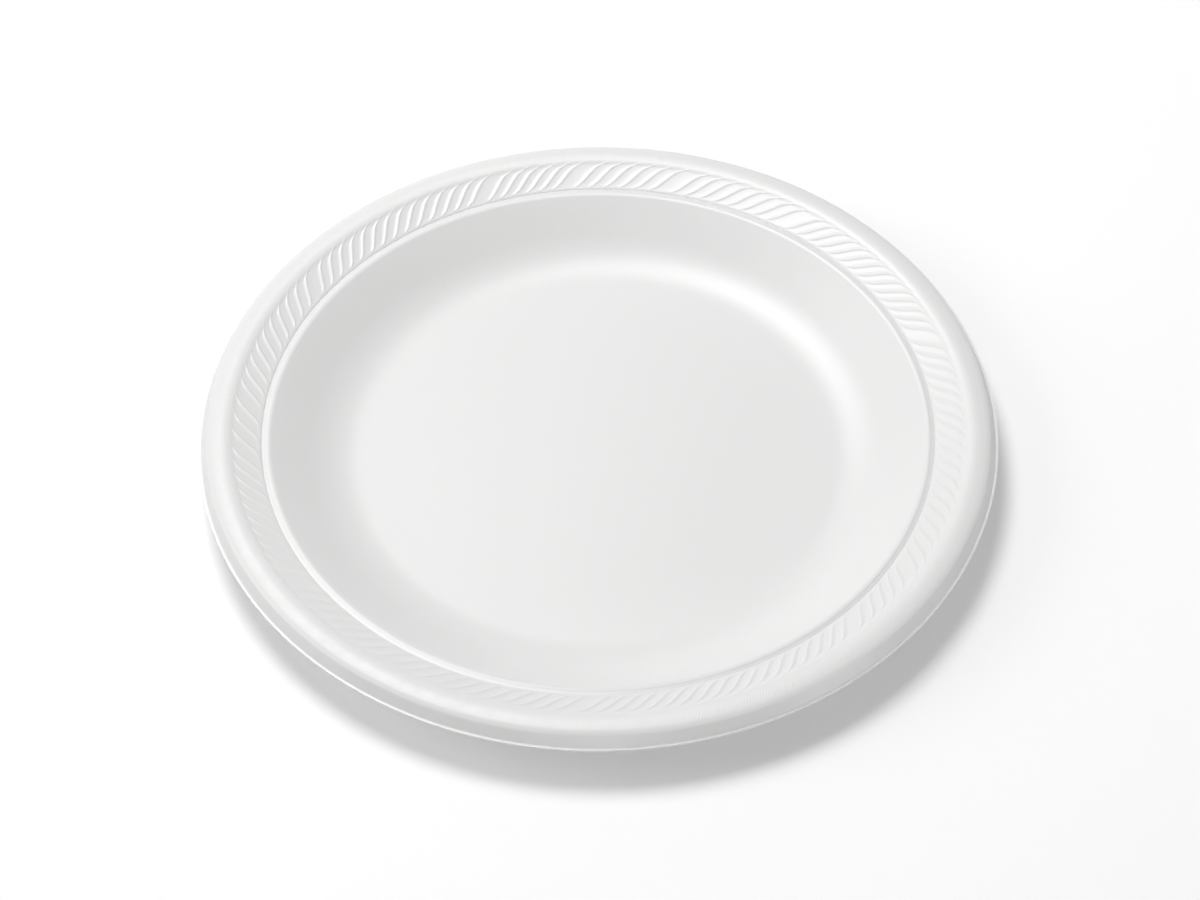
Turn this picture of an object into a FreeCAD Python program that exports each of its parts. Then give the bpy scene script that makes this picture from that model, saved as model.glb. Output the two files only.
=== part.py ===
import FreeCAD, Part
import math
import os
from collections import namedtuple

import Sketcher
from FreeCAD import Placement, Rotation, Vector

# Disposable plastic plate, thermoformed from one sheet.
#
# The sheet keeps one thickness along its whole section. From the axis outwards it has a flat floor, a
# knee and a straight sloping wall, a narrow rounded bead, a groove, the sloping rope face, a small step
# up to the broad crown of the rim, a tight corner, a steep flank and the short flat lip where it was cut.
# The rope face carries a ring of slim S-shaped ribs, laid in groups with a wider gap between groups.
#
# Millimetres and degrees. The Z axis is the plate's axis, and the floor's underside stands on Z = 0.

DIMENSIONS = {
    # the sheet and its overall size
    "plate_diameter": 225.0,
    "plate_height": 15.9,
    "sheet_thickness": 0.5,
    # the dish: its wall is measured level, from the edge of the floor to the middle of the bead
    "wall_width": 25.5,
    "wall_slope": 36.0,
    # the bead, measured level from its middle to the bottom of the groove
    "bead_width": 1.75,
    "bead_radius": 2.2,
    "bead_slope": 17.0,
    # the groove's outer side
    "groove_height": 0.25,
    "groove_slope": 50.0,
    # the rope face, measured along its slope
    "rope_face_width": 8.35,
    "rope_slope": 18.0,
    # the step from the rope face up to the crown
    "step_height": 0.4,
    "step_slope": 55.0,
    # the crown, whose middle lies this far inside the plate's edge
    "crown_inset": 6.4,
    "crown_radius": 8.5,
    "crown_start_angle": 20.0,
    # the rim outside the crown
    "corner_radius": 1.0,
    "flank_slope": 64.0,
    "rim_drop": 4.3,
    "lip_width": 0.4,
    # one rib, measured in the plane of the rope face
    "rib_lean": 41.0,
    "rib_straight": 4.6,
    "rib_sweep": 10.2,
    "rib_end_gap": 0.15,
    "rib_foot_width": 2.0,
    "rib_crest_width": 0.4,
    "rib_crest_setback": 0.5,
    "rib_height": 0.3,
    "rib_root": 0.15,
    # the rhythm of the ribs round the plate: the gap between groups is in units of the common pitch
    "gap_ratio": 1.5,
    "first_rib_angle": 172.9,
}

# the groups of ribs, going round clockwise as seen from above: how many ribs each group has, and how
# far apart they stand in units of the common pitch
RIB_GROUPS = (
    (10, 1.06),
    (14, 0.98),
    (6, 0.91),
    (6, 1.04),
    (8, 1.0),
    (14, 0.92),
    (19, 1.02),
    (5, 0.97),
    (18, 0.95),
    (19, 1.035),
    (10, 1.08),
    (3, 1.31),
)
RIB_SPACES = sum((count - 1) * ratio for count, ratio in RIB_GROUPS)

# one skin of the section, edge by edge from the axis outwards
EDGES = (
    "floor",
    "knee",
    "wall",
    "bead",
    "fall",
    "groove_side",
    "rope_face",
    "step",
    "crown",
    "corner",
    "flank",
    "lip",
)
# edges that end in a crease; every other one runs smoothly into the next
CREASED = ("fall", "groove_side", "rope_face", "step", "flank")

# lengths that follow from the driving dimensions
PLATE_RADIUS = "(dims.plate_diameter / 2)"
LIP_LEVEL = "(dims.plate_height - dims.rim_drop)"
CROWN_CENTRE_RADIUS = f"({PLATE_RADIUS} - dims.crown_inset)"
CROWN_CENTRE_LEVEL = "(dims.plate_height - dims.crown_radius)"
CROWN_START_RUN = "(dims.crown_radius * sin(dims.crown_start_angle))"
CROWN_START_RISE = "(dims.crown_radius * cos(dims.crown_start_angle))"
STEP_RUN = "(dims.step_height / tan(dims.step_slope))"
ROPE_RUN = "(dims.rope_face_width * cos(dims.rope_slope))"
ROPE_RISE = "(dims.rope_face_width * sin(dims.rope_slope))"
ROPE_END_RADIUS = f"({CROWN_CENTRE_RADIUS} - {CROWN_START_RUN} - {STEP_RUN})"
ROPE_END_LEVEL = f"({CROWN_CENTRE_LEVEL} + {CROWN_START_RISE} - dims.step_height)"
GROOVE_RUN = "(dims.groove_height / tan(dims.groove_slope))"
RIB_REACH = "(dims.rope_face_width / 2 - dims.rib_end_gap)"
RIB_PITCH = f"(360 / ({RIB_SPACES} + {len(RIB_GROUPS)} * dims.gap_ratio))"

START, END, CENTRE = 1, 2, 3
ORIGIN = (-1, 1)

# an edge of a sketch with its two ends, each as the sketch names it
Edge = namedtuple("Edge", "number inner outer")
# a corner of the section and the slopes of the edges that meet there
Corner = namedtuple("Corner", "place slope_before slope_after")


def make_sheet(doc):
    """The spreadsheet of driving dimensions, one alias to a row."""
    sheet = doc.addObject("Spreadsheet::Sheet", "dims")
    for row, (name, value) in enumerate(DIMENSIONS.items(), start=1):
        sheet.set(f"A{row}", name)
        sheet.set(f"B{row}", str(value))
        sheet.setAlias(f"B{row}", name)
    doc.recompute()
    return sheet


def origin_plane(body, role):
    """The plane of the body's own origin that has this role."""
    return next(item for item in body.Origin.OriginFeatures if item.Role == role)


def new_sketch(body, name, role):
    """A sketch of the body, lying on one of its origin planes."""
    sketch = body.newObject("Sketcher::SketchObject", name)
    sketch.AttachmentSupport = (origin_plane(body, role), "")
    sketch.MapMode = "FlatFace"
    return sketch


def flat(point):
    """A point of a sketch, from its two coordinates."""
    return Vector(point[0], point[1], 0)


def shifted(point, length, slope):
    """The point this far away in a direction given by its slope in degrees."""
    turn = math.radians(slope)
    return (point[0] + length * math.cos(turn), point[1] + length * math.sin(turn))


def angle_to(centre, point):
    """The direction of a point from a centre, in degrees."""
    return math.degrees(math.atan2(point[1] - centre[1], point[0] - centre[0]))


def line(sketch, start, end):
    """Add a straight edge and return its number."""
    return sketch.addGeometry(Part.LineSegment(flat(start), flat(end)), False)


def arc(sketch, centre, start, end):
    """Add an arc that runs anticlockwise between two points and return its number."""
    circle = Part.Circle(flat(centre), Vector(0, 0, 1), math.dist(centre, start))
    first, last = (math.radians(angle_to(centre, point)) for point in (start, end))
    return sketch.addGeometry(Part.ArcOfCircle(circle, first, last), False)


def constrain(sketch, kind, *places):
    """Add one geometric constraint for each group of places."""
    for group in places:
        sketch.addConstraint(Sketcher.Constraint(kind, *group))


def drive(sketch, read, sizes):
    """Add named dimensions, each with its value, and bind them to the sheet."""
    for name, (kind, places, formula) in sizes.items():
        value = read(formula)
        if kind == "Angle":
            value = math.radians(value)
        number = sketch.addConstraint(Sketcher.Constraint(kind, *places, value))
        sketch.renameConstraint(number, name)
        sketch.setExpression(f"Constraints.{name}", formula)


def section_corners(read):
    """The corners of the upper skin from the axis outwards, and the centres of its arcs."""
    thick = read("dims.sheet_thickness")
    wall_slope = read("dims.wall_slope")
    fall_slope = -read("dims.bead_slope")
    groove_slope = read("dims.groove_slope")
    rope_slope = read("dims.rope_slope")
    step_slope = read("dims.step_slope")
    crown_slope = read("dims.crown_start_angle")
    flank_slope = -read("dims.flank_slope")
    lip_level = read(LIP_LEVEL)

    # the crown, its corner and the flank
    crown_radius = read("dims.crown_radius")
    corner_radius = read("dims.corner_radius")
    crown_centre = (read(CROWN_CENTRE_RADIUS), read(CROWN_CENTRE_LEVEL))
    plate_edge = (read(PLATE_RADIUS), lip_level)
    flank_foot = (plate_edge[0] - read("dims.lip_width"), lip_level)
    reach = math.dist(crown_centre, flank_foot)
    turn = math.radians(angle_to(crown_centre, flank_foot) - (flank_slope + 90))
    depth = reach * math.cos(turn) - corner_radius
    climb = math.sqrt((crown_radius - corner_radius) ** 2 - depth**2)
    corner_centre = shifted(shifted(crown_centre, depth, flank_slope + 90), climb, flank_slope + 180)
    crown_end_turn = angle_to(crown_centre, corner_centre)
    crown_end = shifted(crown_centre, crown_radius, crown_end_turn)
    corner_end = shifted(corner_centre, corner_radius, flank_slope + 90)

    # the step, the rope face and the groove
    crown_start = shifted(crown_centre, crown_radius, crown_slope + 90)
    rope_end = (read(ROPE_END_RADIUS), read(ROPE_END_LEVEL))
    rope_start = (rope_end[0] - read(ROPE_RUN), rope_end[1] - read(ROPE_RISE))
    groove = (rope_start[0] - read(GROOVE_RUN), rope_start[1] - read("dims.groove_height"))

    # the bead
    bead_radius = read("dims.bead_radius")
    bead_middle = groove[0] - read("dims.bead_width")
    bead_end_run = groove[0] - shifted((bead_middle, 0), bead_radius, fall_slope + 90)[0]
    bead_end = shifted(groove, bead_end_run / math.cos(math.radians(fall_slope)), fall_slope + 180)
    bead_centre = shifted(bead_end, bead_radius, fall_slope - 90)
    bead_start = shifted(bead_centre, bead_radius, wall_slope + 90)

    # the knee is the arc that meets both the floor and the wall smoothly
    floor_end = (bead_middle - read("dims.wall_width"), thick)
    tilt = math.radians(wall_slope)
    run, rise = bead_start[0] - floor_end[0], bead_start[1] - thick
    knee_radius = (run * math.sin(tilt) - rise * math.cos(tilt)) / (1 - math.cos(tilt))
    knee_centre = shifted(floor_end, knee_radius, 90)
    knee_end = shifted(knee_centre, knee_radius, wall_slope - 90)

    corners = (
        Corner((0, thick), 0, 0),
        Corner(floor_end, 0, 0),
        Corner(knee_end, wall_slope, wall_slope),
        Corner(bead_start, wall_slope, wall_slope),
        Corner(bead_end, fall_slope, fall_slope),
        Corner(groove, fall_slope, groove_slope),
        Corner(rope_start, groove_slope, rope_slope),
        Corner(rope_end, rope_slope, step_slope),
        Corner(crown_start, step_slope, crown_slope),
        Corner(crown_end, crown_end_turn - 90, crown_end_turn - 90),
        Corner(corner_end, flank_slope, flank_slope),
        Corner(flank_foot, flank_slope, 0),
        Corner(plate_edge, 0, 0),
    )
    centres = {"knee": knee_centre, "bead": bead_centre, "crown": crown_centre, "corner": corner_centre}
    return corners, centres


def lowered(corner, thick):
    """The corner of the lower skin that lies under a corner of the upper skin."""
    middle = (corner.slope_before + corner.slope_after) / 2
    half_turn = math.radians((corner.slope_before - corner.slope_after) / 2)
    return shifted(corner.place, thick / math.cos(half_turn), middle - 90)


def draw_skin(sketch, places, centres):
    """Draw one skin through these places and return its edges by name."""
    skin = {}
    for name, near, far in zip(EDGES, places, places[1:]):
        centre = centres.get(name)
        if centre is None:
            number = line(sketch, near, far)
            ends = (START, END)
        elif centre[1] > near[1]:
            number = arc(sketch, centre, near, far)
            ends = (START, END)
        else:
            number = arc(sketch, centre, far, near)
            ends = (END, START)
        skin[name] = Edge(number, (number, ends[0]), (number, ends[1]))
    for name, following in zip(EDGES, EDGES[1:]):
        kind = "Coincident" if name in CREASED else "Tangent"
        constrain(sketch, kind, (*skin[name].outer, *skin[following].inner))
    constrain(sketch, "Horizontal", (skin["floor"].number,), (skin["lip"].number,))
    return skin


def draw_section(sketch, read):
    """Half the plate's section: two skins one sheet thickness apart, the cut edge and the axis."""
    thick = read("dims.sheet_thickness")
    corners, centres = section_corners(read)
    places = [corner.place for corner in corners]
    under_places = [lowered(corner, thick) for corner in corners]
    top = draw_skin(sketch, places, centres)
    under = draw_skin(sketch, under_places, centres)
    axis = line(sketch, under_places[0], places[0])
    cut_edge = line(sketch, under_places[-1], places[-1])

    constrain(sketch, "Vertical", (axis,), (cut_edge,))
    constrain(
        sketch,
        "Coincident",
        (axis, START, *ORIGIN),
        (axis, START, *under["floor"].inner),
        (axis, END, *top["floor"].inner),
        (cut_edge, START, *under["lip"].outer),
        (cut_edge, END, *top["lip"].outer),
    )
    for name in centres:
        constrain(sketch, "Coincident", (top[name].number, CENTRE, under[name].number, CENTRE))
    for name in CREASED:
        constrain(sketch, "Parallel", (top[name].number, under[name].number))

    bead_middle = (top["bead"].number, CENTRE)
    crown_middle = (top["crown"].number, CENTRE)
    groove_side, rope_face, step = top["groove_side"], top["rope_face"], top["step"]
    sizes = {
        "floor_thickness": ("DistanceY", (axis, START, axis, END), "dims.sheet_thickness"),
        "cut_thickness": ("DistanceY", (cut_edge, START, cut_edge, END), "dims.sheet_thickness"),
        "plate_reach": ("DistanceX", (*ORIGIN, *top["lip"].outer), PLATE_RADIUS),
        "lip_level": ("DistanceY", (*ORIGIN, *top["lip"].outer), LIP_LEVEL),
        "lip_width": ("DistanceX", (*top["lip"].inner, *top["lip"].outer), "dims.lip_width"),
        "flank_slope": ("Angle", (top["flank"].number,), "-dims.flank_slope"),
        "corner_radius": ("Radius", (top["corner"].number,), "dims.corner_radius"),
        "crown_reach": ("DistanceX", (*ORIGIN, *crown_middle), CROWN_CENTRE_RADIUS),
        "crown_level": ("DistanceY", (*ORIGIN, *crown_middle), CROWN_CENTRE_LEVEL),
        "crown_radius": ("Radius", (top["crown"].number,), "dims.crown_radius"),
        "crown_start_run": ("DistanceX", (*top["crown"].inner, *crown_middle), CROWN_START_RUN),
        "step_run": ("DistanceX", (*step.inner, *step.outer), STEP_RUN),
        "step_height": ("DistanceY", (*step.inner, *step.outer), "dims.step_height"),
        "rope_run": ("DistanceX", (*rope_face.inner, *rope_face.outer), ROPE_RUN),
        "rope_rise": ("DistanceY", (*rope_face.inner, *rope_face.outer), ROPE_RISE),
        "groove_run": ("DistanceX", (*groove_side.inner, *groove_side.outer), GROOVE_RUN),
        "groove_height": ("DistanceY", (*groove_side.inner, *groove_side.outer), "dims.groove_height"),
        "bead_width": ("DistanceX", (*bead_middle, *groove_side.inner), "dims.bead_width"),
        "bead_radius": ("Radius", (top["bead"].number,), "dims.bead_radius"),
        "bead_slope": ("Angle", (top["fall"].number,), "-dims.bead_slope"),
        "wall_slope": ("Angle", (top["wall"].number,), "dims.wall_slope"),
        "wall_width": ("DistanceX", (*top["floor"].outer, *bead_middle), "dims.wall_width"),
        "bead_under": ("Radius", (under["bead"].number,), "dims.bead_radius - dims.sheet_thickness"),
        "crown_under": ("Radius", (under["crown"].number,), "dims.crown_radius - dims.sheet_thickness"),
    }
    for name in ("groove_side", "rope_face", "step"):
        facing = (*top[name].inner, under[name].number)
        sizes[f"{name}_thickness"] = ("Distance", facing, "dims.sheet_thickness")
    drive(sketch, read, sizes)


def draw_rib(sketch, read, reach, sweep, width):
    """One rib seen square to the rope face: a slim S with pointed ends, even about its middle.

    The rib leans clockwise as it goes outwards, straight in the middle and curling further at both ends.
    """
    half = read("dims.rib_straight / 2")
    lean = read("dims.rib_lean")
    half_width = read(width) / 2
    tip = (read(reach), -read(sweep))
    middle = shifted((0, 0), half, -lean)

    def outer_curl(start):
        """The arc that leaves the end of a straight side smoothly and runs to the rib's outer tip."""
        chord_turn = math.radians(angle_to(start, tip) + lean)
        radius = -math.dist(start, tip) / (2 * math.sin(chord_turn))
        centre = shifted(start, radius, -90 - lean)
        outer = arc(sketch, centre, tip, start)
        opposite = [(-x, -y) for x, y in (centre, tip, start)]
        return outer, arc(sketch, *opposite)

    left_end = shifted(middle, half_width, 90 - lean)
    right_end = shifted(middle, half_width, -90 - lean)
    left = line(sketch, (-right_end[0], -right_end[1]), left_end)
    right = line(sketch, (-left_end[0], -left_end[1]), right_end)
    left_outer, right_inner = outer_curl(left_end)
    right_outer, left_inner = outer_curl(right_end)
    constrain(
        sketch,
        "Tangent",
        (left, END, left_outer, END),
        (right, END, right_outer, END),
        (left, START, left_inner, END),
        (right, START, right_inner, END),
    )
    constrain(
        sketch,
        "Coincident",
        (left_outer, START, right_outer, START),
        (left_inner, START, right_inner, START),
    )
    constrain(
        sketch,
        "Symmetric",
        (left, END, right, START, *ORIGIN),
        (left, START, right, END, *ORIGIN),
        (left_outer, START, left_inner, START, *ORIGIN),
    )
    side_run = "dims.rib_straight * cos(dims.rib_lean)"
    side_fall = "dims.rib_straight * sin(dims.rib_lean)"
    sizes = {
        "side_run": ("DistanceX", (left, START, left, END), side_run),
        "side_fall": ("DistanceY", (left, END, left, START), side_fall),
        "width_run": ("DistanceX", (right, END, left, END), f"{width} * sin(dims.rib_lean)"),
        "width_rise": ("DistanceY", (right, END, left, END), f"{width} * cos(dims.rib_lean)"),
        "tip_reach": ("DistanceX", (*ORIGIN, left_outer, START), reach),
        "tip_sweep": ("DistanceY", (left_outer, START, *ORIGIN), sweep),
    }
    drive(sketch, read, sizes)


def tilt_to_rope_face(sketch, read, lift):
    """Lay a sketch parallel to the rope face, this far above it, where the first rib goes."""
    reach = f"({ROPE_END_RADIUS} - {ROPE_RUN} / 2 - {lift} * sin(dims.rope_slope))"
    formulas = {
        "Base.x": f"{reach} * cos(dims.first_rib_angle)",
        "Base.y": f"{reach} * sin(dims.first_rib_angle)",
        "Base.z": f"{ROPE_END_LEVEL} - {ROPE_RISE} / 2 + {lift} * cos(dims.rope_slope)",
        "Rotation.Yaw": "dims.first_rib_angle",
        "Rotation.Pitch": "-dims.rope_slope",
    }
    base = Vector(*(read(formulas[f"Base.{side}"]) for side in "xyz"))
    turn = Rotation(read(formulas["Rotation.Yaw"]), read(formulas["Rotation.Pitch"]), 0)
    sketch.AttachmentOffset = Placement(base, turn)
    for place, formula in formulas.items():
        sketch.setExpression(f"AttachmentOffset.{place}", formula)


def make_plate(doc, sheet):
    """The whole plate as one body: the revolved sheet, then one rib repeated round the rope face."""

    def read(formula):
        value = sheet.evalExpression(formula)
        return float(getattr(value, "Value", value))

    body = doc.addObject("PartDesign::Body", "plate")
    body.Label = "plate"

    section = new_sketch(body, "section", "XZ_Plane")
    draw_section(section, read)
    revolved = body.newObject("PartDesign::Revolution", "formed_sheet")
    revolved.Profile = section
    revolved.ReferenceAxis = (section, ["V_Axis"])
    revolved.Angle = 360
    doc.recompute()

    foot = new_sketch(body, "rib_foot", "XY_Plane")
    tilt_to_rope_face(foot, read, "-dims.rib_root")
    draw_rib(foot, read, RIB_REACH, "dims.rib_sweep / 2", "dims.rib_foot_width")
    crest = new_sketch(body, "rib_crest", "XY_Plane")
    tilt_to_rope_face(crest, read, "dims.rib_height")
    shrink = f"(1 - dims.rib_crest_setback / {RIB_REACH})"
    draw_rib(
        crest, read, f"{RIB_REACH} * {shrink}", f"dims.rib_sweep / 2 * {shrink}", "dims.rib_crest_width"
    )
    rib = body.newObject("PartDesign::AdditiveLoft", "rib")
    rib.Profile = foot
    rib.Sections = [crest]
    rib.Ruled = True
    doc.recompute()

    pitch, gap_ratio = read(RIB_PITCH), read("dims.gap_ratio")
    steps = []
    for count, ratio in RIB_GROUPS:
        steps += [ratio] * (count - 1) + [gap_ratio]
    ring = body.newObject("PartDesign::PolarPattern", "rib_ring")
    ring.Originals = [rib]
    ring.Axis = (section, ["V_Axis"])
    ring.Mode = "Spacing"
    ring.Reversed = True
    ring.Occurrences = len(steps)
    ring.setExpression("Offset", RIB_PITCH)
    # the last gap leads back to the first rib
    ring.Spacings = [pitch * step for step in steps[:-1]]
    body.Tip = ring
    doc.recompute()
    return body


def check(doc, parts):
    """Stop unless every object was computed and every part is one sound solid."""
    for item in doc.Objects:
        if any(state in item.State for state in ("Invalid", "Error")):
            raise RuntimeError(f"{item.Name} could not be computed")
        if item.TypeId == "Sketcher::SketchObject" and not item.FullyConstrained:
            raise RuntimeError(f"{item.Name} is not fully constrained")
    for part in parts:
        if part.Shape.isNull() or not part.Shape.isValid():
            raise RuntimeError(f"{part.Label} has no sound shape")
        if len(part.Shape.Solids) != 1:
            raise RuntimeError(f"{part.Label} is not one solid")


doc = FreeCAD.newDocument("disposable_plate")
parts = [make_plate(doc, make_sheet(doc))]
check(doc, parts)
os.makedirs("parts", exist_ok=True)
for part in parts:
    part.Shape.exportStep(os.path.join("parts", f"{part.Label}.step"))
    print(part.Label, "volume", round(part.Shape.Volume), "mm3, faces", len(part.Shape.Faces))
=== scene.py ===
"""The looks of a white disposable plate, formed from one thin plastic sheet."""

import logging
import math
from bisect import bisect_left
from dataclasses import dataclass, field
from enum import Enum
from typing import NamedTuple

import bmesh
import bpy
from mathutils import Matrix, Vector

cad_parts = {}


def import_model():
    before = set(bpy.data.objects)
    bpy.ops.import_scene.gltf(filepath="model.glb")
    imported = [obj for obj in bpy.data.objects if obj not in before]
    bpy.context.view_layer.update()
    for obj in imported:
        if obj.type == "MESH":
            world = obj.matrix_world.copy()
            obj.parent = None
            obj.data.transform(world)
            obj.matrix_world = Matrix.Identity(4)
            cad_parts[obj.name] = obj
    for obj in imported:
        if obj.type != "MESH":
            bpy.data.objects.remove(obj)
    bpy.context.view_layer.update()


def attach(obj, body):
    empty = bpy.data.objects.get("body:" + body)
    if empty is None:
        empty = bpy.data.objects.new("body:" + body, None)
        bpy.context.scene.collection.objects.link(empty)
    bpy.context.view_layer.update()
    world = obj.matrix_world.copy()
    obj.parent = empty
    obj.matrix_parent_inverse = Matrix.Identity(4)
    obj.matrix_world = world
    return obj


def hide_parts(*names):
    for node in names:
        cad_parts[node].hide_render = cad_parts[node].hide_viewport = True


LOG = logging.getLogger("plate")
MILLIMETRE = 0.001
WELD = 1e-7
WHITE = (1.0, 1.0, 1.0, 1.0)

Point = tuple[float, float]


class Skin(Enum):
    """The two skins of the sheet."""

    UPPER = "upper"
    LOWER = "lower"


def blend(first: float, last: float, share: float) -> float:
    """The value this share of the way from the first to the last."""
    return first + (last - first) * share


def between(first: Point, last: Point, share: float) -> Point:
    """The point this share of the way from the first to the last."""
    return blend(first[0], last[0], share), blend(first[1], last[1], share)


def bump(offset: float, half_width: float) -> float:
    """A smooth swell that is one at its middle and nothing beyond its half width."""
    if abs(offset) >= half_width:
        return 0.0
    return 0.5 + 0.5 * math.cos(math.pi * offset / half_width)


def on_circle(centre: Point, radius: float, slope: float) -> Point:
    """The point of an arc, seen in section, where its tangent has this slope.

    Args:
        centre: centre of the arc as radius and height.
        radius: the arc's radius; negative for a hollow arc, whose centre lies above it.
        slope: slope of the tangent in degrees, rising outwards.

    Returns:
        The point as radius and height.
    """
    turn = math.radians(slope)
    return centre[0] - radius * math.sin(turn), centre[1] + radius * math.cos(turn)


def straight(start: Point, end: Point, count: int) -> list[Point]:
    """Points along a straight run, without its end."""
    return [between(start, end, index / count) for index in range(count)]


def curve(centre: Point, radius: float, first: float, last: float, count: int) -> list[Point]:
    """Points along an arc between two slopes, without its end."""
    return [on_circle(centre, radius, blend(first, last, index / count)) for index in range(count)]


@dataclass
class Section:
    """Half the plate's section; lengths are in millimetres and slopes in degrees."""

    plate_radius: float = 112.5
    plate_height: float = 15.9
    thickness: float = 0.5
    wall_width: float = 25.5
    wall_slope: float = 36.0
    bead_width: float = 1.65
    bead_radius: float = 2.2
    bead_slope: float = 11.0
    groove_height: float = 0.25
    groove_slope: float = 50.0
    rope_face_width: float = 8.5
    rope_slope: float = 19.2
    step_height: float = 0.22
    step_slope: float = 55.0
    crown_inset: float = 6.4
    crown_radius: float = 8.5
    crown_start_angle: float = 20.0
    corner_radius: float = 1.0
    flank_slope: float = 63.5
    rim_drop: float = 4.3
    lip_width: float = 0.68
    dimple_depth: float = 0.045
    dimple_place: float = 0.75
    dimple_reach: float = 0.4
    softness: float = 0.5
    softened_reach: float = 1.2
    swell_height: float = 0.1
    swell_radius: float = 109.2
    swell_reach: float = 1.6
    rope_crown_turn: float = 14.0
    rim_gap_turn: float = 0.5
    ring_inset: float = 0.08

    def __post_init__(self) -> None:
        """Work out the points where the section's lines and arcs meet."""
        lip_level = self.plate_height - self.rim_drop
        self.crown_centre = (self.plate_radius - self.crown_inset, self.plate_height - self.crown_radius)
        self.foot = (self.plate_radius - self.lip_width, lip_level)
        self.crown_start = on_circle(self.crown_centre, self.crown_radius, self.crown_start_angle)
        step_run = self.step_height / math.tan(math.radians(self.step_slope))
        self.rope_end = (self.crown_start[0] - step_run, self.crown_start[1] - self.step_height)
        rope_run = self.rope_face_width * math.cos(math.radians(self.rope_slope))
        rope_rise = self.rope_face_width * math.sin(math.radians(self.rope_slope))
        self.rope_start = (self.rope_end[0] - rope_run, self.rope_end[1] - rope_rise)
        self.rope_middle = between(self.rope_start, self.rope_end, 0.5)
        groove_run = self.groove_height / math.tan(math.radians(self.groove_slope))
        self.groove = (self.rope_start[0] - groove_run, self.rope_start[1] - self.groove_height)
        self._place_corner()
        self._place_bead()
        self._place_knee()

    def _place_corner(self) -> None:
        """Fit the small arc between the crown and the straight flank."""
        turn = math.radians(self.flank_slope)
        outwards = Vector((math.sin(turn), math.cos(turn)))
        upwards = Vector((-math.cos(turn), math.sin(turn)))
        crown = Vector(self.crown_centre)
        depth = (Vector(self.foot) - crown).dot(outwards) - self.corner_radius
        climb = math.sqrt((self.crown_radius - self.corner_radius) ** 2 - depth**2)
        self.corner_centre = tuple(crown + depth * outwards + climb * upwards)
        run = self.corner_centre[0] - crown[0]
        self.crown_end_slope = -math.degrees(math.atan2(run, self.corner_centre[1] - crown[1]))

    def _place_bead(self) -> None:
        """Fit the bead's arc so that its fall runs down into the groove."""
        middle = self.groove[0] - self.bead_width
        fall_start = on_circle((middle, 0.0), self.bead_radius, -self.bead_slope)
        fall = (self.groove[0] - fall_start[0]) * math.tan(math.radians(self.bead_slope))
        self.bead_centre = (middle, self.groove[1] + fall - fall_start[1])

    def _place_knee(self) -> None:
        """Fit the knee's arc between the flat floor and the wall."""
        floor_edge = self.bead_centre[0] - self.wall_width
        wall_top = on_circle(self.bead_centre, self.bead_radius, self.wall_slope)
        turn = math.radians(self.wall_slope)
        run = wall_top[0] - floor_edge
        rise = wall_top[1] - self.thickness
        self.knee_radius = (run * math.sin(turn) - rise * math.cos(turn)) / (1 - math.cos(turn))
        self.knee_centre = (floor_edge, self.thickness + self.knee_radius)

    def dish(self, skin: Skin) -> list[Point]:
        """The floor, the knee, the wall and the bead of one skin, from the axis outwards."""
        lower = skin is Skin.LOWER
        under = self.thickness if lower else 0.0
        knee = -(self.knee_radius + under)
        bead = self.bead_radius - under
        level = self.thickness - under
        wall_start = on_circle(self.knee_centre, knee, self.wall_slope)
        wall_end = on_circle(self.bead_centre, bead, self.wall_slope)
        fall_start = on_circle(self.bead_centre, bead, -self.bead_slope)
        points = straight((0.0, level), (self.knee_centre[0], level), 4)
        points += curve(self.knee_centre, knee, 0.0, self.wall_slope, 8 if lower else 18)
        points += straight(wall_start, wall_end, 3)
        points += curve(self.bead_centre, bead, self.wall_slope, -self.bead_slope, 4 if lower else 10)
        groove = self.corner(self.groove, -self.bead_slope, self.groove_slope, under)
        points += straight(fall_start, groove, 1 if lower else 12)
        if not lower:
            points = [self.dimpled(point) for point in points]
        return points

    def dimpled(self, point: Point) -> Point:
        """The point with the shallow dimple that runs along the bead's outer half."""
        place = point[0] - self.bead_centre[0] - self.dimple_place
        sunk = self.dimple_depth * bump(place, self.dimple_reach)
        return point[0], point[1] - sunk

    def corner(self, place: Point, before: float, after: float, under: float) -> Point:
        """Where a skin lying this far below the upper one turns from one slope to the next."""
        middle = math.radians((before + after) / 2)
        reach = under / math.cos(math.radians((before - after) / 2))
        return place[0] + reach * math.sin(middle), place[1] - reach * math.cos(middle)

    def rope(self) -> list[Point]:
        """The upper skin from the groove over the rope face and its step on to the crown."""
        start = self.corner(self.groove, -self.bead_slope, self.groove_slope, 0.0)
        near = self.crown_start_angle
        crown = curve(self.crown_centre, self.crown_radius, near, near - self.rope_crown_turn, 8)
        sharp = straight(start, self.rope_start, 6)
        sharp += straight(self.rope_start, self.rope_end, 200)
        sharp += straight(self.rope_end, self.crown_start, 12)
        sharp += crown
        radii = [start[0], blend(start[0], self.rope_start[0], 0.5), self.rope_start[0]]
        radii += [blend(self.rope_start[0], self.rope_end[0], index / 20) for index in range(1, 20)]
        radii += [self.rope_end[0] - self.ring_inset, self.rope_end[0] + self.ring_inset]
        radii += [self.crown_start[0] - self.ring_inset / 2]
        radii += [radius for radius, _ in crown[1:]]
        return [(radius, soft_height(sharp, radius, self.reach(radius))) for radius in radii]

    def reach(self, radius: float) -> float:
        """How far to either side the sheet is rounded at this radius."""
        near_step = bump(radius - self.rope_end[0], self.softened_reach)
        return max(self.softness * near_step, 1e-4)

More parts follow.
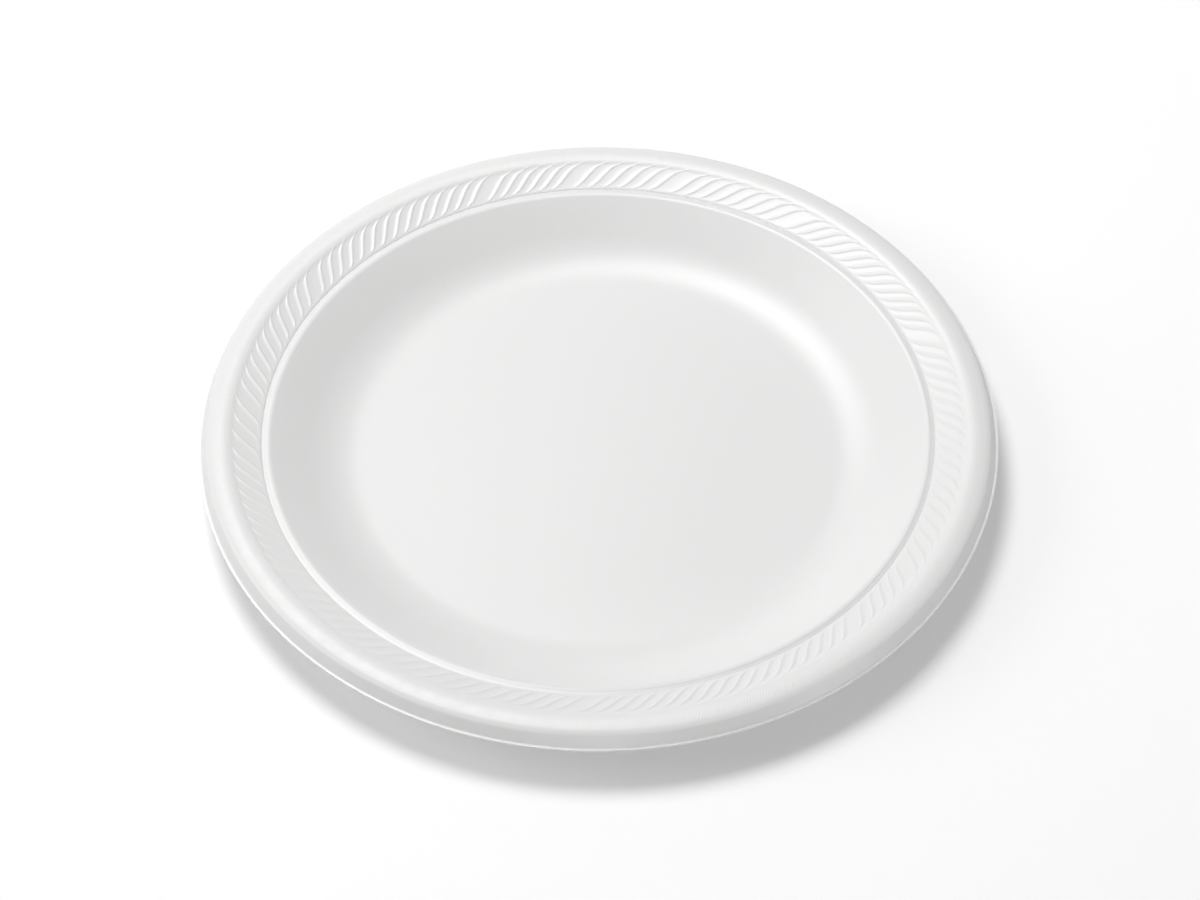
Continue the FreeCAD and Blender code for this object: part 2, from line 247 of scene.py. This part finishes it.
    def rim(self, skin: Skin) -> list[Point]:
        """The crown, the corner and the flank of one skin, from the rope outwards to the edge."""
        lower = skin is Skin.LOWER
        under = self.thickness if lower else 0.0
        crown = self.crown_radius - under
        corner = self.corner_radius - under
        first = self.crown_start_angle - (0.0 if lower else self.rope_crown_turn + self.rim_gap_turn)
        foot = self.corner(self.foot, -self.flank_slope, 0.0, under)
        points = curve(self.crown_centre, crown, first, self.crown_end_slope, 8 if lower else 13)
        points += curve(self.corner_centre, corner, self.crown_end_slope, -self.flank_slope, 4)
        points += straight(on_circle(self.corner_centre, corner, -self.flank_slope), foot, 2)
        points += [foot, (self.plate_radius, foot[1])]
        if not lower:
            points = [self.swollen(point) for point in points]
        return points

    def swollen(self, point: Point) -> Point:
        """The point with the faint swell on the crown's outer side."""
        raised = self.swell_height * bump(point[0] - self.swell_radius, self.swell_reach)
        return point[0], point[1] + raised

    def underside(self) -> list[Point]:
        """The lower skin from the rim's edge inwards to the axis."""
        under = self.thickness
        points = self.dish(Skin.LOWER)
        points.append(self.corner(self.groove, -self.bead_slope, self.groove_slope, under))
        points.append(self.corner(self.rope_start, self.groove_slope, self.rope_slope, under))
        points.append(self.corner(self.rope_end, self.rope_slope, self.step_slope, under))
        points.append(self.corner(self.crown_start, self.step_slope, self.crown_start_angle, under))
        points += self.rim(Skin.LOWER)[1:]
        return points[::-1]


def soft_height(sharp: list[Point], radius: float, reach: float, taps: int = 9) -> float:
    """The height of a sharp outline at this radius, evened out over a short reach to either side."""
    radii = [point[0] for point in sharp]
    total = 0.0
    for tap in range(taps):
        place = radius + reach * (2 * tap / (taps - 1) - 1)
        place = min(max(place, radii[0]), radii[-1])
        index = max(bisect_left(radii, place), 1)
        start, end = sharp[index - 1], sharp[index]
        total += blend(start[1], end[1], (place - start[0]) / (end[0] - start[0]))
    return total / taps


class Column(NamedTuple):
    """A line of points that crosses the rope face beside a rib.

    Attributes:
        angle: where it stands at the face's middle, in degrees anticlockwise.
        offset: distance in millimetres past its rib's crest, going clockwise.
        share: how much of the way it has gone to the middle of the panel beside the rib.
    """

    angle: float
    offset: float
    share: float


@dataclass(frozen=True)
class Swell:
    """A small smooth swell at the outer tip of a rib; lengths are in millimetres.

    Attributes:
        height: how far it rises.
        across: how far its middle lies past the rope face's outer edge.
        across_reach: half its width across the face.
        along: how far its middle lies past the rib's crest, going clockwise.
        along_reach: half its width along the ring.
    """

    height: float
    across: float
    across_reach: float
    along: float
    along_reach: float

    def at(self, across: float, along: float) -> float:
        """Its height at this place, from the face's outer edge and from the rib's crest."""
        fade = bump(across - self.across, self.across_reach)
        return self.height * fade * bump(along - self.along, self.along_reach)


@dataclass
class RopeRibs:
    """The slanted S-shaped ribs on the rope face; lengths are in millimetres and angles in degrees."""

    face_width: float
    middle_radius: float
    groups: tuple[tuple[int, float], ...] = (
        (10, 1.06),
        (14, 0.98),
        (6, 0.91),
        (6, 1.04),
        (8, 1.0),
        (14, 0.92),
        (19, 1.02),
        (5, 0.97),
        (18, 0.95),
        (19, 1.035),
        (10, 1.08),
        (3, 1.31),
    )
    gap_ratio: float = 1.5
    first_angle: float = 172.9
    lean: float = 41.0
    straight: float = 4.6
    sweep: float = 10.2
    end_gap: float = 0.15
    height: float = 0.155
    broad_side: float = 1.15
    narrow_side: float = 0.52
    panel_sag: float = 0.07
    tip_dent: Swell = Swell(0.05, -0.35, 0.6, 0.6, 1.3)
    tip_nose: Swell = Swell(0.16, 0.05, 0.4, 0.4, 0.8)
    inner_sink: float = 0.12
    inner_reach: float = 1.0
    groove_reach: float = 0.2
    inner_lead: float = 0.3
    inner_length: float = 1.1
    steps: tuple[float, ...] = (0.28, 0.6, 1.0, 1.5)
    last_step_share: float = 0.45

    def __post_init__(self) -> None:
        """Work out the curl at the ends of the S and where every rib and column stands."""
        self.tip = (self.face_width / 2 - self.end_gap, self.sweep / 2)
        turn = math.radians(self.lean)
        self.bend = (self.straight / 2 * math.cos(turn), self.straight / 2 * math.sin(turn))
        run, rise = self.tip[0] - self.bend[0], self.tip[1] - self.bend[1]
        self.curl = (run**2 + rise**2) / (2 * (rise * math.cos(turn) - run * math.sin(turn)))
        across = self.bend[0] - self.curl * math.sin(turn)
        self.curl_centre = (across, self.bend[1] + self.curl * math.cos(turn))
        spaces = sum((count - 1) * ratio for count, ratio in self.groups)
        pitch = 360.0 / (spaces + self.gap_ratio * len(self.groups))
        self.angles: list[float] = []
        angle = self.first_angle
        for count, ratio in self.groups:
            for index in range(count):
                self.angles.append(angle)
                angle -= pitch * (self.gap_ratio if index == count - 1 else ratio)
        self.columns = self._columns()

    def _columns(self) -> list[Column]:
        """Every column of the rope face, going round clockwise."""
        columns = []
        length = math.radians(1.0) * self.middle_radius
        for index, angle in enumerate(self.angles):
            before = self.angles[index - 1] - (0.0 if index else -360.0)
            after = self.angles[index + 1] if index + 1 < len(self.angles) else self.angles[0] - 360.0
            half_before = (before - angle) / 2 * length
            half_after = (angle - after) / 2 * length
            offsets = [-half_before, -blend(self.steps[-1], half_before, self.last_step_share)]
            offsets += [-step for step in reversed(self.steps)]
            offsets += [0.0, *self.steps, blend(self.steps[-1], half_after, self.last_step_share)]
            for offset in offsets:
                half = half_before if offset < 0 else half_after
                columns.append(Column(angle - offset / length, offset, abs(offset) / half))
        return columns

    def swing(self, across: float) -> float:
        """How far clockwise a rib has gone at this place across the face, from the face's middle."""
        size = min(abs(across), self.tip[0])
        if size <= self.bend[0]:
            shift = size * math.tan(math.radians(self.lean))
        else:
            rest = self.curl**2 - (size - self.curl_centre[0]) ** 2
            shift = self.curl_centre[1] - math.sqrt(max(rest, 0.0))
        return math.copysign(shift, across)

    def relief(self, across: float, offset: float, share: float) -> float:
        """How far the rope face stands proud.

        Args:
            across: place across the face, from its middle, growing outwards.
            offset: distance past the nearest rib's crest going clockwise, along the ring.
            share: how much of the way to the middle of the panel beside the rib.

        Returns:
            The height of the relief square to the face.
        """
        size = abs(across)
        if size >= self.face_width / 2:
            return self.tip_lift(across, offset)
        far = max(size - self.bend[0], 0.0) / (self.face_width / 2 - self.bend[0])
        taper = 1.0 - far**4
        side = self.narrow_side if offset > 0 else self.broad_side
        width = side / math.cos(math.radians(self.lean)) * (1.0 - 0.5 * far**2)
        rib = self.height * taper * bump(offset, width)
        sag = self.panel_sag * (1.0 - far**2) * (1.0 - (1.0 - share) ** 2)
        return rib - sag + self.tip_lift(across, offset)

    def tip_lift(self, across: float, offset: float) -> float:
        """How far the sheet rises or, below nothing, sinks here at the two tips of a rib."""
        edge = self.face_width / 2
        if across > 0:
            return self.tip_nose.at(across - edge, offset) - self.tip_dent.at(across - edge, offset)
        reach = self.inner_reach if across > -edge else self.groove_reach
        fade = bump(across + edge, reach)
        return -self.inner_sink * fade * bump(offset + self.inner_lead, self.inner_length)


class Graph:
    """A short way to write node trees."""

    def __init__(self, tree: bpy.types.NodeTree) -> None:
        """Start on an emptied tree.

        Args:
            tree: the tree to fill.
        """
        self.tree = tree
        self.tree.nodes.clear()

    def node(self, kind: str, **settings: object) -> bpy.types.Node:
        """Add a node and set its properties."""
        made = self.tree.nodes.new(kind)
        for name, value in settings.items():
            setattr(made, name, value)
        return made

    def link(self, source: bpy.types.NodeSocket, target: bpy.types.NodeSocket) -> None:
        """Join an output to an input."""
        self.tree.links.new(source, target)

    def math(self, operation: str, *values: object) -> bpy.types.NodeSocket:
        """Add a sum on sockets or plain numbers and return its result."""
        made = self.node("ShaderNodeMath", operation=operation)
        for socket, value in zip(made.inputs, values):
            if isinstance(value, bpy.types.NodeSocket):
                self.link(value, socket)
            else:
                socket.default_value = value
        return made.outputs[0]


def new_group(
    name: str, inputs: dict[str, float], output: str
) -> tuple[Graph, dict[str, bpy.types.NodeSocket]]:
    """Start a node group of plain numbers.

    Args:
        name: the group's name.
        inputs: its inputs with their starting values.
        output: the name of its one output.

    Returns:
        The group's graph, and its input sockets and its output's socket by name.
    """
    tree = bpy.data.node_groups.new(name, "ShaderNodeTree")
    graph = Graph(tree)
    for label, value in inputs.items():
        socket = tree.interface.new_socket(label, in_out="INPUT", socket_type="NodeSocketFloat")
        socket.default_value = value
    tree.interface.new_socket(output, in_out="OUTPUT", socket_type="NodeSocketFloat")
    ends = graph.node("NodeGroupInput")
    sockets = {label: ends.outputs[label] for label in inputs}
    sockets[output] = graph.node("NodeGroupOutput").inputs[output]
    return graph, sockets


@dataclass(frozen=True)
class Finish:
    """A finish of the sheet or of the ground.

    Attributes:
        name: the material's name.
        colour: linear red, green and blue.
        roughness: how dull the surface is.
        specular: the strength of the plain reflection.
    """

    name: str
    colour: tuple[float, float, float]
    roughness: float
    specular: float

    def start(self) -> tuple[bpy.types.Material, Graph, bpy.types.Node]:
        """Make a material of this finish.

        Returns:
            The material, its graph and its shader.
        """
        material = bpy.data.materials.new(self.name)
        material.use_nodes = True
        graph = Graph(material.node_tree)
        shader = graph.node("ShaderNodeBsdfPrincipled")
        shader.inputs["Base Color"].default_value = (*self.colour, 1.0)
        shader.inputs["Roughness"].default_value = self.roughness
        shader.inputs["Specular IOR Level"].default_value = self.specular
        graph.link(shader.outputs[0], graph.node("ShaderNodeOutputMaterial").inputs["Surface"])
        return material, graph, shader


@dataclass(frozen=True)
class Lamp:
    """A round soft lamp that faces the plate.

    Attributes:
        name: the lamp's name.
        azimuth: direction from the plate in degrees, anticlockwise from the right.
        elevation: how high it stands in degrees.
        distance: how far away it stands in metres.
        size: its diameter in metres.
        power: its power in watts.
    """

    name: str
    azimuth: float
    elevation: float
    distance: float
    size: float
    power: float


@dataclass
class SheetTexture:
    """The fine marks that the sheet and the mould leave in the plastic; radii are in millimetres."""

    wall_edges: tuple[float, ...] = (55.0, 68.0, 88.0, 93.0)
    wall_wander: float = 60.0
    wall_drift: float = 0.05
    wall_evenness: float = 0.2
    crown_edges: tuple[float, ...] = (103.8, 104.8, 108.2, 109.5)
    crown_top: float = 106.3
    patch_scale: float = 260.0
    patch_shift: float = 8.0

    def radius_and_angle(self, graph: Graph) -> tuple[bpy.types.NodeSocket, bpy.types.NodeSocket]:
        """The distance from the plate's axis in millimetres and the angle around it in turns."""
        place = graph.node("ShaderNodeTexCoord").outputs["Object"]
        parts = graph.node("ShaderNodeSeparateXYZ")
        graph.link(place, parts.inputs[0])
        squares = [graph.math("POWER", parts.outputs[axis], 2.0) for axis in (0, 1)]
        root = graph.math("SQRT", graph.math("ADD", *squares))
        radius = graph.math("MULTIPLY", root, 1.0 / MILLIMETRE)
        angle = graph.math("ARCTAN2", parts.outputs[1], parts.outputs[0])
        return radius, angle

    def window(
        self, graph: Graph, value: bpy.types.NodeSocket, edges: tuple[float, ...]
    ) -> bpy.types.NodeSocket:
        """A mask that rises over the first two edges and falls over the last two."""
        rise = graph.node("ShaderNodeMapRange", interpolation_type="SMOOTHSTEP")
        fall = graph.node("ShaderNodeMapRange", interpolation_type="SMOOTHSTEP")
        for made, ends, swap in ((rise, edges[:2], False), (fall, edges[2:], True)):
            graph.link(value, made.inputs["Value"])
            made.inputs["From Min"].default_value, made.inputs["From Max"].default_value = ends
            made.inputs["To Min"].default_value = 1.0 if swap else 0.0
            made.inputs["To Max"].default_value = 0.0 if swap else 1.0
        return graph.math("MULTIPLY", rise.outputs[0], fall.outputs[0])

    def striations(self) -> bpy.types.NodeTree:
        """Fine ridges that run outwards over the knee, the wall and the bead."""
        graph, ends = new_group("radial_striations", {"Strands": 480.0}, "Height")
        radius, angle = self.radius_and_angle(graph)
        swell = graph.math("SINE", graph.math("MULTIPLY", angle, ends["Strands"]))
        direction = graph.node("ShaderNodeCombineXYZ")
        for index, wave in enumerate(("COSINE", "SINE")):
            part = graph.math("MULTIPLY", graph.math(wave, angle), self.wall_wander)
            graph.link(part, direction.inputs[index])
        graph.link(graph.math("MULTIPLY", radius, self.wall_drift), direction.inputs[2])
        noise = graph.node("ShaderNodeTexNoise")
        noise.inputs["Scale"].default_value = 1.0
        noise.inputs["Detail"].default_value = 2.0
        graph.link(direction.outputs[0], noise.inputs["Vector"])
        mixed = graph.math("ADD", graph.math("MULTIPLY", swell, self.wall_evenness), noise.outputs[0])
        mask = self.window(graph, radius, self.wall_edges)
        graph.link(graph.math("MULTIPLY", mixed, mask), ends["Height"])
        return graph.tree

    def hatch(self) -> bpy.types.NodeTree:
        """Fine slanted ridges on the crown, which lean one way outside its top and the other inside."""
        graph, ends = new_group("crown_hatch", {"Strands": 860.0, "Slant": 3.2}, "Height")
        radius, angle = self.radius_and_angle(graph)
        out = graph.math("ABSOLUTE", graph.math("SUBTRACT", radius, self.crown_top))
        strands = graph.math("MULTIPLY", angle, ends["Strands"])
        wave = graph.math("ADD", strands, graph.math("MULTIPLY", out, ends["Slant"]))
        patches = graph.node("ShaderNodeTexNoise")
        patches.inputs["Scale"].default_value = self.patch_scale
        graph.link(graph.node("ShaderNodeTexCoord").outputs["Object"], patches.inputs["Vector"])
        mask = graph.math("MULTIPLY", self.window(graph, radius, self.crown_edges), patches.outputs[0])
        wave = graph.math("ADD", wave, graph.math("MULTIPLY", patches.outputs[0], self.patch_shift))
        graph.link(graph.math("MULTIPLY", graph.math("SINE", wave), mask), ends["Height"])
        return graph.tree

    def grain(self) -> bpy.types.NodeTree:
        """Faint uneven grain all over the sheet."""
        graph, ends = new_group("sheet_grain", {"Scale": 900.0}, "Height")
        place = graph.node("ShaderNodeTexCoord").outputs["Object"]
        noise = graph.node("ShaderNodeTexNoise")
        noise.inputs["Detail"].default_value = 3.0
        graph.link(place, noise.inputs["Vector"])
        graph.link(ends["Scale"], noise.inputs["Scale"])
        graph.link(noise.outputs[0], ends["Height"])
        return graph.tree


@dataclass
class WhitePlastic:
    """The satin white plastic of the sheet."""

    finish: Finish = Finish("white_plastic", (0.86, 0.86, 0.855), 0.39, 0.66)
    striation_depth: float = 0.022
    hatch_depth: float = 0.032
    grain_depth: float = 0.001

    def build(self) -> bpy.types.Material:
        """Make the material."""
        texture = SheetTexture()
        material, graph, shader = self.finish.start()
        total = None
        layers = (
            (texture.striations(), self.striation_depth),
            (texture.hatch(), self.hatch_depth),
            (texture.grain(), self.grain_depth),
        )
        for tree, depth in layers:
            group = graph.node("ShaderNodeGroup", node_tree=tree)
            height = graph.math("MULTIPLY", group.outputs["Height"], depth * MILLIMETRE)
            total = height if total is None else graph.math("ADD", total, height)
        relief = graph.node("ShaderNodeBump")
        relief.inputs["Strength"].default_value = 1.0
        relief.inputs["Distance"].default_value = 1.0
        graph.link(total, relief.inputs["Height"])
        graph.link(relief.outputs[0], shader.inputs["Normal"])
        return material


@dataclass
class Lathe:
    """Turns outlines into rings of skin in edit mode, one sector first and then its copies."""

    sectors: int = 12

    def spin(self, steps: int, angle: float, copies: bool) -> None:
        """Spin all of the mesh about the plate's axis, as a swept skin or as turned copies."""
        bpy.ops.mesh.select_all(action="SELECT")
        bpy.ops.mesh.spin(steps=steps, dupli=copies, angle=angle, center=(0, 0, 0), axis=(0, 0, 1))

    def turn(self, name: str, points: list[Point], columns: int) -> bpy.types.Object:
        """Spin an outline round the plate's axis.

        Args:
            name: name of the new mesh object.
            points: the outline as radius and height in millimetres.
            columns: how many equal steps a full turn takes.

        Returns:
            The open skin.
        """
        bpy.ops.object.select_all(action="DESELECT")
        bpy.ops.mesh.primitive_plane_add(size=MILLIMETRE)
        piece = bpy.context.object
        piece.name = piece.data.name = name
        bpy.ops.object.mode_set(mode="EDIT")
        bpy.ops.mesh.select_all(action="SELECT")
        bpy.ops.mesh.merge(type="CENTER")
        bpy.ops.mesh.select_mode(type="VERT")
        bpy.ops.mesh.select_all(action="SELECT")
        places = [Vector((radius, 0.0, height)) * MILLIMETRE for radius, height in points]
        bpy.ops.transform.translate(value=places[0])
        for before, after in zip(places, places[1:]):
            bpy.ops.mesh.extrude_region_move(TRANSFORM_OT_translate={"value": after - before})
        self.spin(columns // self.sectors, 2 * math.pi / self.sectors, False)
        self.spin(self.sectors, 2 * math.pi, True)
        bpy.ops.mesh.select_all(action="SELECT")
        bpy.ops.mesh.remove_doubles(threshold=WELD)
        bpy.ops.object.mode_set(mode="OBJECT")
        return piece


@dataclass
class Plate:
    """The whole plate: one closed sheet."""

    section: Section = field(default_factory=Section)
    plastic: WhitePlastic = field(default_factory=WhitePlastic)
    smooth_angle: float = 40.0
    coarse: int = 4
    seam_width: float = 1.0
    seam_slack: float = 0.01

    def __post_init__(self) -> None:
        """Lay the ribs out on this section's rope face."""
        section = self.section
        self.ribs = RopeRibs(section.rope_face_width, section.rope_middle[0])
        self.cosine = math.cos(math.radians(section.rope_slope))
        self.sine = math.sin(math.radians(section.rope_slope))

    def across(self, radius: float) -> float:
        """Place across the rope face, from its middle, of a radius in millimetres."""
        return (radius - self.section.rope_middle[0]) / self.cosine

    def set_columns(self, piece: bpy.types.Object, every: int) -> None:
        """Move evenly spun columns to the ribs' columns and raise the ribs.

        Args:
            piece: a skin as the lathe leaves it.
            every: how many of the ribs' columns there are to one of the skin's.
        """
        columns = self.ribs.columns[::every]
        count = len(columns)
        for vertex in piece.data.vertices:
            radius = math.hypot(vertex.co.x, vertex.co.y)
            if radius < WELD:
                continue
            index = round(-math.atan2(vertex.co.y, vertex.co.x) / (2 * math.pi) * count) % count
            column = columns[index]
            across = self.across(radius / MILLIMETRE)
            angle = math.radians(column.angle) - self.ribs.swing(across) / self.ribs.middle_radius
            relief = self.ribs.relief(across, column.offset, column.share)
            lift = relief * MILLIMETRE if every == 1 else 0.0
            radius -= lift * self.sine
            height = vertex.co.z + lift * self.cosine
            vertex.co = (radius * math.cos(angle), radius * math.sin(angle), height)

    def build(self) -> bpy.types.Object:
        """Make the plate's mesh and give it its place and its finish."""
        fine = len(self.ribs.columns)
        even = fine // self.coarse
        lathe = Lathe()
        dish = lathe.turn("plate_sheet", self.section.dish(Skin.UPPER), even)
        rope = lathe.turn("rope_skin", self.section.rope(), fine)
        rim_points = self.section.rim(Skin.UPPER)
        rim = lathe.turn("rim_skin", rim_points + self.section.underside(), even)
        self.set_columns(dish, self.coarse)
        self.set_columns(rope, 1)
        self.set_columns(rim, self.coarse)
        self.join(dish, rope, rim)
        self.close(dish, self.section.groove[0] - self.seam_width, self.section.groove[0])
        self.close(dish, self.section.crown_start[0], rim_points[0][0])
        self.finish(dish)
        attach(dish, "root")
        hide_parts("plate")
        return dish

    def join(self, *skins: bpy.types.Object) -> None:
        """Join the skins into the first of them."""
        bpy.ops.object.select_all(action="DESELECT")
        for skin in skins:
            skin.select_set(True)
        bpy.context.view_layer.objects.active = skins[0]
        bpy.ops.object.join()

    def close(self, piece: bpy.types.Object, inner: float, outer: float) -> None:
        """Bridge the two open edges whose radii in millimetres lie in this range."""
        bpy.ops.object.mode_set(mode="EDIT")
        bpy.ops.mesh.select_mode(type="EDGE")
        bpy.ops.mesh.select_all(action="DESELECT")
        mesh = bmesh.from_edit_mesh(piece.data)
        for edge in mesh.edges:
            radius = edge.verts[0].co.xy.length / MILLIMETRE
            if edge.is_boundary and inner - self.seam_slack < radius < outer + self.seam_slack:
                edge.select_set(True)
        bmesh.update_edit_mesh(piece.data)
        bpy.ops.mesh.bridge_edge_loops()
        bpy.ops.object.mode_set(mode="OBJECT")

    def finish(self, piece: bpy.types.Object) -> None:
        """Merge doubles, turn the faces outwards, smooth the shading and paint the sheet."""
        bpy.ops.object.mode_set(mode="EDIT")
        bpy.ops.mesh.select_all(action="SELECT")
        bpy.ops.mesh.remove_doubles(threshold=WELD)
        bpy.ops.mesh.normals_make_consistent(inside=False)
        bpy.ops.object.mode_set(mode="OBJECT")
        bpy.ops.object.shade_smooth_by_angle(angle=math.radians(self.smooth_angle))
        piece.data.materials.clear()
        piece.data.materials.append(self.plastic.build())


@dataclass
class Studio:
    """The pale ground, the light and the camera."""

    ground: Finish = Finish("ground", (0.9, 0.9, 0.9), 0.9, 0.2)
    ground_size: float = 8.0
    ambient: float = 0.215
    whitening: float = 0.24
    lamps: tuple[Lamp, ...] = (
        Lamp("key", 120.0, 64.0, 1.5, 0.7, 13.1),
        Lamp("back", 105.0, 20.0, 1.5, 0.9, 1.0),
        Lamp("left", 180.0, 29.0, 1.5, 0.9, 5.1),
        Lamp("front", 270.0, 8.0, 1.5, 0.3, 2.3),
        Lamp("right", 325.0, 7.0, 1.5, 0.3, 3.3),
    )
    camera_place: tuple[float, float, float] = (0.448, -665.6, 765.2)
    camera_tilt: float = 41.096
    camera_roll: float = -0.532
    camera_lens: float = 106.95
    camera_sensor: float = 36.0
    camera_near: float = 0.01

    def build(self) -> None:
        """Set the whole stage."""
        self.add_ground()
        self.add_world()
        for lamp in self.lamps:
            self.add_lamp(lamp)
        self.add_camera()
        bpy.context.scene.view_settings.view_transform = "Standard"

    def add_ground(self) -> None:
        """Lay the ground under the plate; it looks white and still takes the plate's shadow."""
        bpy.ops.object.select_all(action="DESELECT")
        bpy.ops.mesh.primitive_plane_add(size=self.ground_size)
        ground = bpy.context.object
        ground.name = ground.data.name = "ground"
        material, graph, shader = self.ground.start()
        shader.inputs["Emission Color"].default_value = WHITE
        seen = graph.node("ShaderNodeLightPath").outputs["Is Camera Ray"]
        graph.link(graph.math("MULTIPLY", seen, self.whitening), shader.inputs["Emission Strength"])
        ground.data.materials.append(material)

    def add_world(self) -> None:
        """Make the surroundings white to look at and in reflections, and dim as a light."""
        world = bpy.data.worlds.new("surroundings")
        bpy.context.scene.world = world
        world.use_nodes = True
        graph = Graph(world.node_tree)
        path = graph.node("ShaderNodeLightPath")
        seen = graph.math("MAXIMUM", path.outputs["Is Camera Ray"], path.outputs["Is Glossy Ray"])
        seen = graph.math("MAXIMUM", seen, path.outputs["Is Transmission Ray"])
        sky = graph.node("ShaderNodeBackground")
        sky.inputs["Color"].default_value = WHITE
        graph.link(graph.math("MAXIMUM", seen, self.ambient), sky.inputs["Strength"])
        graph.link(sky.outputs[0], graph.node("ShaderNodeOutputWorld").inputs["Surface"])

    def add_lamp(self, lamp: Lamp) -> None:
        """Add a lamp that faces the plate."""
        data = bpy.data.lights.new(lamp.name, "AREA")
        data.shape = "DISK"
        data.size = lamp.size
        data.energy = lamp.power
        made = bpy.data.objects.new(lamp.name, data)
        bpy.context.scene.collection.objects.link(made)
        around, up = math.radians(lamp.azimuth), math.radians(lamp.elevation)
        flat = math.cos(up)
        direction = Vector((flat * math.cos(around), flat * math.sin(around), math.sin(up)))
        made.location = direction * lamp.distance
        made.rotation_euler = (-direction).to_track_quat("-Z", "Y").to_euler()

    def add_camera(self) -> None:
        """Place the camera in front of the plate and above it."""
        data = bpy.data.cameras.new("camera")
        data.sensor_width = self.camera_sensor
        data.lens = self.camera_lens
        data.clip_start = self.camera_near
        made = bpy.data.objects.new("camera", data)
        bpy.context.scene.collection.objects.link(made)
        tilt = Matrix.Rotation(math.radians(self.camera_tilt), 4, "X")
        roll = Matrix.Rotation(math.radians(self.camera_roll), 4, "Z")
        made.matrix_world = Matrix.Translation(Vector(self.camera_place) * MILLIMETRE) @ tilt @ roll
        bpy.context.scene.camera = made


def main() -> None:
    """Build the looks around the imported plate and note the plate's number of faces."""
    logging.basicConfig(level=logging.INFO, format="%(message)s")
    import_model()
    plate = Plate().build()
    Studio().build()
    LOG.info("%s has %d faces", plate.name, len(plate.data.polygons))


if __name__ == "__main__":
    main()
